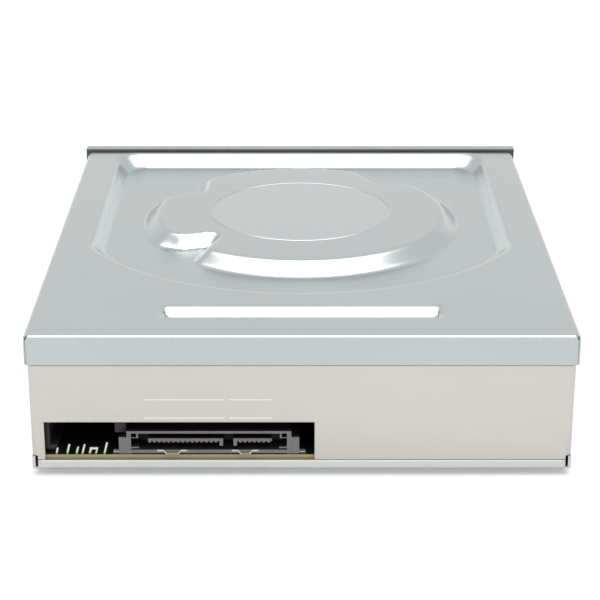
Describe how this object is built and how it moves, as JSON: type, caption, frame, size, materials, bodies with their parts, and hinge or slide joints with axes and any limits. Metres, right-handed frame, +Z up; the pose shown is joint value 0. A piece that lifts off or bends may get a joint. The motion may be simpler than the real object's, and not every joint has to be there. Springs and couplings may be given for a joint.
{
  "type": "half-height optical disc drive",
  "caption": "Internal 5.25 inch disc writer with a pressed steel casing, serial data and power connector, sliding tray, lifting traverse and turntable.",
  "frame": {"origin": "centre of the drive's footprint with its bezel, on the underside", "axes": "+Y towards the front bezel, the way the tray opens; +X to the right for someone looking at the rear panel; +Z up through the top cover"},
  "size_m": [0.148, 0.17, 0.0418],
  "materials": {
    "cover_sheet": "electro-galvanised sheet steel, satin",
    "shell_sheet": "electro-galvanised sheet steel, satin",
    "bright_steel": "ground steel, bright",
    "screw_steel": "zinc-plated steel, passivated",
    "motor_can": "drawn nickel-plated steel",
    "cast_alloy": "die-cast alloy, as cast",
    "copper_winding": "enamelled copper",
    "gold_contact": "gold over nickel",
    "bezel_plastic": "moulded, fine spark-eroded texture",
    "frame_plastic": "moulded black, matt",
    "tray_plastic": "moulded dark grey, matt",
    "pale_plastic": "moulded acetal, natural white",
    "connector_plastic": "glass-filled moulding, black",
    "chip_epoxy": "moulded epoxy, matt",
    "board_laminate": "glass laminate with green solder mask",
    "can_sleeve": "shrunk sleeve over an aluminium can",
    "clear_plastic": "moulded clear, polished",
    "lens_plastic": "moulded lens, coated",
    "magnet_ferrite": "ground sintered magnet",
    "rubber": "moulded, matt"
  },
  "bodies": {
    "chassis": {"top_cover": "cover_sheet", "body_shell": "shell_sheet", "bottom_cover": "shell_sheet", "front_bezel": "bezel_plastic", "main_frame": "frame_plastic", "clamp_bridge": "shell_sheet", "bridge_screws": "screw_steel", "loading_motor": "motor_can", "drive_belt": "rubber", "main_board": "board_laminate", "board_screws": "screw_steel", "board_leads": "bright_steel", "capacitors": "can_sleeve", "sata_connector": "connector_plastic", "connector_contacts": "gold_contact", "connector_clips": "bright_steel", "front_board": "board_laminate", "eject_switch": "connector_plastic", "activity_light": "clear_plastic", "light_guide": "clear_plastic", "cover_screws": "screw_steel", "controller_chip": "chip_epoxy", "memory_chip": "chip_epoxy", "driver_chip": "chip_epoxy", "crystal": "bright_steel", "pickup_socket": "pale_plastic", "spindle_socket": "pale_plastic", "loader_socket": "pale_plastic"},
    "tray_carriage": {"tray": "tray_plastic", "tray_front": "bezel_plastic"},
    "cam_slide": {"cam_slider": "pale_plastic"},
    "traverse": {"lift_frame": "frame_plastic", "traverse_plate": "shell_sheet", "guide_rods": "bright_steel", "damper_grommets": "rubber", "damper_screws": "screw_steel", "spindle_base": "motor_can", "spindle_stator": "copper_winding", "sled_motor": "motor_can"},
    "turntable_hub": {"spindle_rotor": "motor_can", "turntable": "frame_plastic", "turntable_ring": "rubber"},
    "sled_screw": {"lead_screw": "bright_steel"},
    "pickup": {"pickup_body": "cast_alloy", "sled_nut": "pale_plastic", "actuator_yoke": "bright_steel", "lens_holder": "connector_plastic", "objective_lens": "lens_plastic"},
    "disc_clamp": {"clamper": "pale_plastic", "clamp_magnet": "magnet_ferrite", "clamp_yoke": "shell_sheet"},
    "drive_wheel": {"drive_gear": "pale_plastic"},
    "pulley_wheel": {"pulley_gear": "pale_plastic"},
    "motor_wheel": {"motor_pulley": "pale_plastic"},
    "button": {"eject_button": "bezel_plastic"}
  },
  "joints": [
    {"name": "tray_slide", "type": "slide", "parent": "chassis", "child": "tray_carriage", "axis": [0, 1, 0], "range_m": [0, 0.136]},
    {"name": "cam_travel", "type": "slide", "parent": "chassis", "child": "cam_slide", "axis": [1, 0, 0], "range_m": [0, 0.02]},
    {"name": "traverse_tilt", "type": "hinge", "parent": "chassis", "child": "traverse", "pos_m": [0, -0.072, 0.0145], "axis": [-1, 0, 0], "range_deg": [0, 4.7]},
    {"name": "turntable_spin", "type": "hinge", "parent": "traverse", "child": "turntable_hub", "pos_m": [0, 0.0164, 0.026], "axis": [0, 0, 1], "continuous": true},
    {"name": "clamper_spin", "type": "hinge", "parent": "chassis", "child": "disc_clamp", "pos_m": [0, 0.0164, 0.034], "axis": [0, 0, 1], "continuous": true},
    {"name": "sled_slide", "type": "slide", "parent": "traverse", "child": "pickup", "axis": [0, -1, 0], "range_m": [0, 0.034]},
    {"name": "lead_screw_spin", "type": "hinge", "parent": "traverse", "child": "sled_screw", "pos_m": [0.0326, -0.03, 0.0132], "axis": [0, 1, 0], "range_deg": [0, 4082]},
    {"name": "drive_gear_spin", "type": "hinge", "parent": "chassis", "child": "drive_wheel", "pos_m": [-0.042, 0.066, 0.018], "axis": [0, 0, 1], "range_deg": [-976, 2]},
    {"name": "pulley_gear_spin", "type": "hinge", "parent": "chassis", "child": "pulley_wheel", "pos_m": [-0.0239, 0.066, 0.018], "axis": [0, 0, 1], "range_deg": [-4, 1952]},
    {"name": "motor_pulley_spin", "type": "hinge", "parent": "chassis", "child": "motor_wheel", "pos_m": [0.012, 0.066, 0.0167], "axis": [0, 0, 1], "range_deg": [-14, 7620]},
    {"name": "eject_press", "type": "slide", "parent": "chassis", "child": "button", "axis": [0, -1, 0], "range_m": [0, 0.0008], "stiffness_N_per_m": 900}
  ],
  "couplings": [
    {"joint": "traverse_tilt", "follows": "cam_travel", "rad_per_m": 4.087},
    {"joint": "drive_gear_spin", "follows": "tray_slide", "rad_per_m": -125},
    {"joint": "pulley_gear_spin", "follows": "tray_slide", "rad_per_m": 250},
    {"joint": "motor_pulley_spin", "follows": "tray_slide", "rad_per_m": 974.14},
    {"joint": "lead_screw_spin", "follows": "sled_slide", "rad_per_m": 2094.4}
  ]
}
